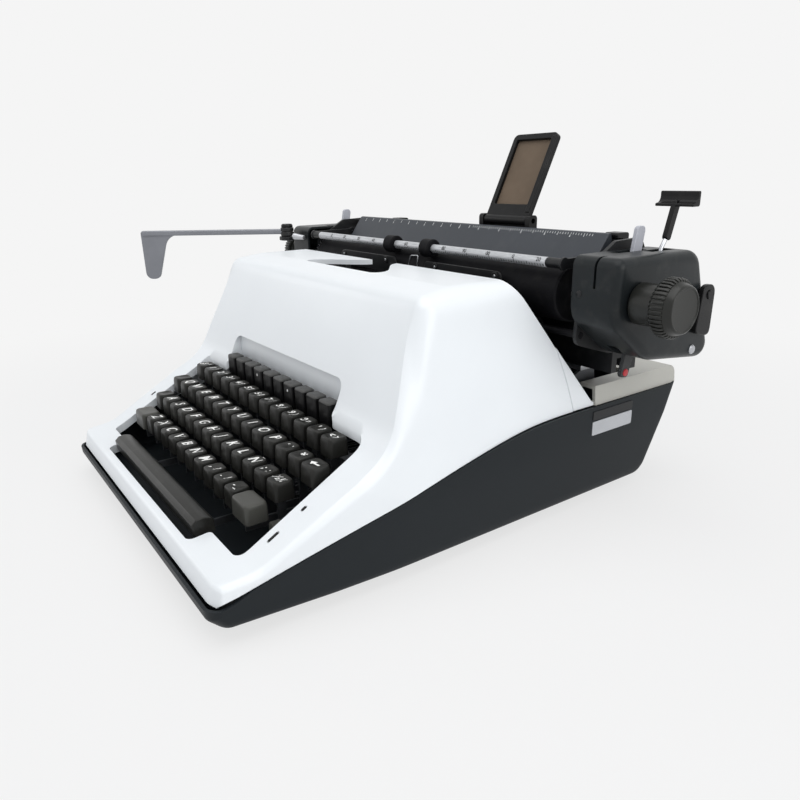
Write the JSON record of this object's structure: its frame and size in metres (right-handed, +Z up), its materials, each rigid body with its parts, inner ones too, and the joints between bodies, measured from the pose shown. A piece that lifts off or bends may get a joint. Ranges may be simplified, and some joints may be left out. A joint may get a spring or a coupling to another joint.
{
  "type": "manual typewriter",
  "caption": "Desk typewriter: hinged pale hood over a dark tub, sprung key rows, sliding carriage with rubber platen, paper bail, return lever and folding paper support.",
  "frame": {"origin": "on the desk, at the centre of the four foot screws", "axes": "+X to the typist's right along the carriage, +Y to the back, +Z up"},
  "size_m": [0.5539, 0.406, 0.2815],
  "materials": {
    "casing_dark": "satin",
    "casing_white": "satin",
    "casing_cream": "satin",
    "foot_rubber": "matte",
    "frame_steel": "satin",
    "bright_steel": "polished",
    "plate_grey": "satin",
    "black_metal": "satin",
    "ribbon_cloth": "inked",
    "bell_metal": "plated",
    "felt": "felt",
    "key_plastic": "satin",
    "cover_slate": "satin",
    "platen_rubber": "matte",
    "black_plastic": "satin",
    "scale_silver": "satin",
    "lever_grey": "satin",
    "tab_grey": "satin",
    "pane_brown": "satin"
  },
  "bodies": {
    "chassis": {"base_tub": "casing_dark", "rubber_feet": "foot_rubber", "side_frames": "frame_steel", "frame_ties": "frame_steel", "key_comb": "frame_steel", "tab_key_guide": "frame_steel", "carriage_rail": "bright_steel", "rear_deck": "casing_cream", "hood_hinge_pins": "bright_steel", "label_plates": "plate_grey", "card_holder": "black_metal", "ribbon_cups": "black_metal", "ribbon_strip": "ribbon_cloth", "margin_bell": "bell_metal"},
    "hood": {"hood": "casing_white"},
    "type_basket": {"type_segment": "frame_steel", "type_bars": "bright_steel", "type_rest": "felt"},
    "spool_left": {"ribbon_spool_left": "black_plastic"},
    "spool_right": {"ribbon_spool_right": "black_plastic"},
    "draw_drum": {"draw_drum": "frame_steel"},
    "digit_row": {"digit_keys": "key_plastic", "digit_levers": "frame_steel"},
    "upper_row": {"upper_keys": "key_plastic", "upper_levers": "frame_steel"},
    "home_row": {"home_keys": "key_plastic", "home_levers": "frame_steel"},
    "lower_row": {"lower_keys": "key_plastic", "lower_levers": "frame_steel"},
    "space_bar": {"space_bar": "key_plastic", "space_bar_arms": "frame_steel"},
    "shift_left": {"shift_key_left": "key_plastic"},
    "shift_right": {"shift_key_right": "key_plastic"},
    "shift_lock": {"shift_lock_key": "key_plastic"},
    "backspace": {"backspace_key": "key_plastic"},
    "tab_row": {"tab_keys": "black_plastic"},
    "carriage": {"carriage_bed": "black_metal", "cover_left": "cover_slate", "cover_right": "cover_slate", "paper_table": "cover_slate", "paper_pan": "black_metal", "support_bracket": "black_plastic", "lever_bracket": "plate_grey"},
    "platen": {"platen": "platen_rubber", "platen_axle": "bright_steel", "knob_left": "black_plastic", "knob_right": "black_plastic"},
    "feed_rollers": {"feed_rollers": "platen_rubber"},
    "bail": {"bail_bar": "scale_silver", "bail_arms": "black_metal"},
    "bail_rollers": {"bail_rollers": "platen_rubber"},
    "return_lever": {"return_lever": "lever_grey"},
    "paper_support": {"paper_support": "black_plastic", "support_pane": "pane_brown"},
    "margin_stop_left": {"margin_stop_left": "black_plastic"},
    "margin_stop_right": {"margin_stop_right": "black_plastic"},
    "paper_release": {"paper_release": "tab_grey"},
    "paper_injector": {"paper_injector": "black_plastic"},
    "carriage_release": {"carriage_release": "black_plastic"},
    "tension_lever": {"tension_lever": "tab_grey"}
  },
  "joints": [
    {"name": "hood_hinge", "type": "hinge", "parent": "chassis", "child": "hood", "pos_m": [0, -0.1918, 0.029], "axis": [1, 0, 0], "range_deg": [0, 35]},
    {"name": "basket_shift", "type": "slide", "parent": "chassis", "child": "type_basket", "axis": [0, 0, -1], "range_m": [0, 0.0065], "stiffness_N_per_m": 2000, "springref_m": -0.008},
    {"name": "spool_left_turn", "type": "hinge", "parent": "chassis", "child": "spool_left", "pos_m": [-0.104, -0.008, 0.15], "axis": [0, 0, 1], "continuous": true},
    {"name": "spool_right_turn", "type": "hinge", "parent": "chassis", "child": "spool_right", "pos_m": [0.104, -0.008, 0.15], "axis": [0, 0, 1], "continuous": true},
    {"name": "drum_turn", "type": "hinge", "parent": "chassis", "child": "draw_drum", "pos_m": [-0.096, 0.143, 0.054], "axis": [0, 1, 0], "range_deg": [-300, 300]},
    {"name": "digit_press", "type": "hinge", "parent": "chassis", "child": "digit_row", "pos_m": [0, 0.07, 0.032], "axis": [1, 0, 0], "range_deg": [0, 4], "stiffness_Nm_per_rad": 4, "springref_deg": -8.59},
    {"name": "upper_press", "type": "hinge", "parent": "chassis", "child": "upper_row", "pos_m": [0, 0.07, 0.032], "axis": [1, 0, 0], "range_deg": [0, 4], "stiffness_Nm_per_rad": 4, "springref_deg": -8.59},
    {"name": "home_press", "type": "hinge", "parent": "chassis", "child": "home_row", "pos_m": [0, 0.07, 0.032], "axis": [1, 0, 0], "range_deg": [0, 3.7], "stiffness_Nm_per_rad": 4, "springref_deg": -8.59},
    {"name": "lower_press", "type": "hinge", "parent": "chassis", "child": "lower_row", "pos_m": [0, 0.07, 0.032], "axis": [1, 0, 0], "range_deg": [0, 3.4], "stiffness_Nm_per_rad": 4, "springref_deg": -8.59},
    {"name": "space_press", "type": "hinge", "parent": "chassis", "child": "space_bar", "pos_m": [0, 0.07, 0.032], "axis": [1, 0, 0], "range_deg": [0, 2], "stiffness_Nm_per_rad": 4, "springref_deg": -8.59},
    {"name": "shift_left_press", "type": "hinge", "parent": "chassis", "child": "shift_left", "pos_m": [0, 0.07, 0.032], "axis": [1, 0, 0], "range_deg": [0, 3.4]},
    {"name": "shift_right_press", "type": "hinge", "parent": "chassis", "child": "shift_right", "pos_m": [0, 0.07, 0.032], "axis": [1, 0, 0], "range_deg": [0, 3.4]},
    {"name": "shift_lock_press", "type": "hinge", "parent": "chassis", "child": "shift_lock", "pos_m": [0, 0.07, 0.032], "axis": [1, 0, 0], "range_deg": [0, 3], "stiffness_Nm_per_rad": 0.5, "springref_deg": -8.59},
    {"name": "backspace_press", "type": "hinge", "parent": "chassis", "child": "backspace", "pos_m": [0, 0.07, 0.032], "axis": [1, 0, 0], "range_deg": [0, 4], "stiffness_Nm_per_rad": 0.5, "springref_deg": -8.59},
    {"name": "tab_press", "type": "slide", "parent": "chassis", "child": "tab_row", "axis": [0, 0, -1], "range_m": [0, 0.008], "stiffness_N_per_m": 300, "springref_m": -0.006},
    {"name": "carriage_slide", "type": "slide", "parent": "chassis", "child": "carriage", "axis": [-1, 0, 0], "range_m": [-0.145, 0.145]},
    {"name": "platen_turn", "type": "hinge", "parent": "carriage", "child": "platen", "pos_m": [-0.005, 0.077, 0.17], "axis": [1, 0, 0], "continuous": true},
    {"name": "feed_turn", "type": "hinge", "parent": "carriage", "child": "feed_rollers", "pos_m": [-0.005, 0.06746, 0.14378], "axis": [1, 0, 0], "continuous": true},
    {"name": "bail_lift", "type": "hinge", "parent": "carriage", "child": "bail", "pos_m": [-0.005, 0.104, 0.192], "axis": [-1, 0, 0], "range_deg": [0, 45]},
    {"name": "bail_roller_turn", "type": "hinge", "parent": "bail", "child": "bail_rollers", "pos_m": [-0.006, 0.058, 0.192], "axis": [1, 0, 0], "continuous": true},
    {"name": "return_swing", "type": "hinge", "parent": "carriage", "child": "return_lever", "pos_m": [-0.211, 0.044, 0.191], "axis": [0, 0, 1], "range_deg": [0, 30], "stiffness_Nm_per_rad": 0.3, "springref_deg": -17.19},
    {"name": "support_fold", "type": "hinge", "parent": "carriage", "child": "paper_support", "pos_m": [0.047, 0.12, 0.213], "axis": [-1, 0, 0], "range_deg": [0, 50]},
    {"name": "margin_left_slide", "type": "slide", "parent": "carriage", "child": "margin_stop_left", "axis": [1, 0, 0], "range_m": [-0.05, 0.11]},
    {"name": "margin_right_slide", "type": "slide", "parent": "carriage", "child": "margin_stop_right", "axis": [1, 0, 0], "range_m": [-0.07, 0.008]},
    {"name": "paper_release_tip", "type": "hinge", "parent": "carriage", "child": "paper_release", "pos_m": [-0.005, 0.103, 0.172], "axis": [1, 0, 0], "range_deg": [0, 18]},
    {"name": "injector_pull", "type": "hinge", "parent": "carriage", "child": "paper_injector", "pos_m": [0.1925, 0.122, 0.172], "axis": [1, 0, 0], "range_deg": [0, 20]},
    {"name": "carriage_release_press", "type": "hinge", "parent": "carriage", "child": "carriage_release", "pos_m": [0.214, 0.15, 0.168], "axis": [-1, 0, 0], "range_deg": [0, 12], "stiffness_Nm_per_rad": 0.02, "springref_deg": -17.19},
    {"name": "tension_tip", "type": "hinge", "parent": "carriage", "child": "tension_lever", "pos_m": [0.189, 0.108, 0.146], "axis": [-1, 0, 0], "range_deg": [0, 10]}
  ],
  "couplings": [
    {"joint": "shift_left_press", "follows": "basket_shift", "rad_per_m": 9.12},
    {"joint": "shift_right_press", "follows": "basket_shift", "rad_per_m": 9.12},
    {"joint": "spool_right_turn", "follows": "spool_left_turn", "ratio": 1},
    {"joint": "drum_turn", "follows": "carriage_slide", "rad_per_m": -35.7},
    {"joint": "feed_turn", "follows": "platen_turn", "ratio": -2.9286}
  ]
}
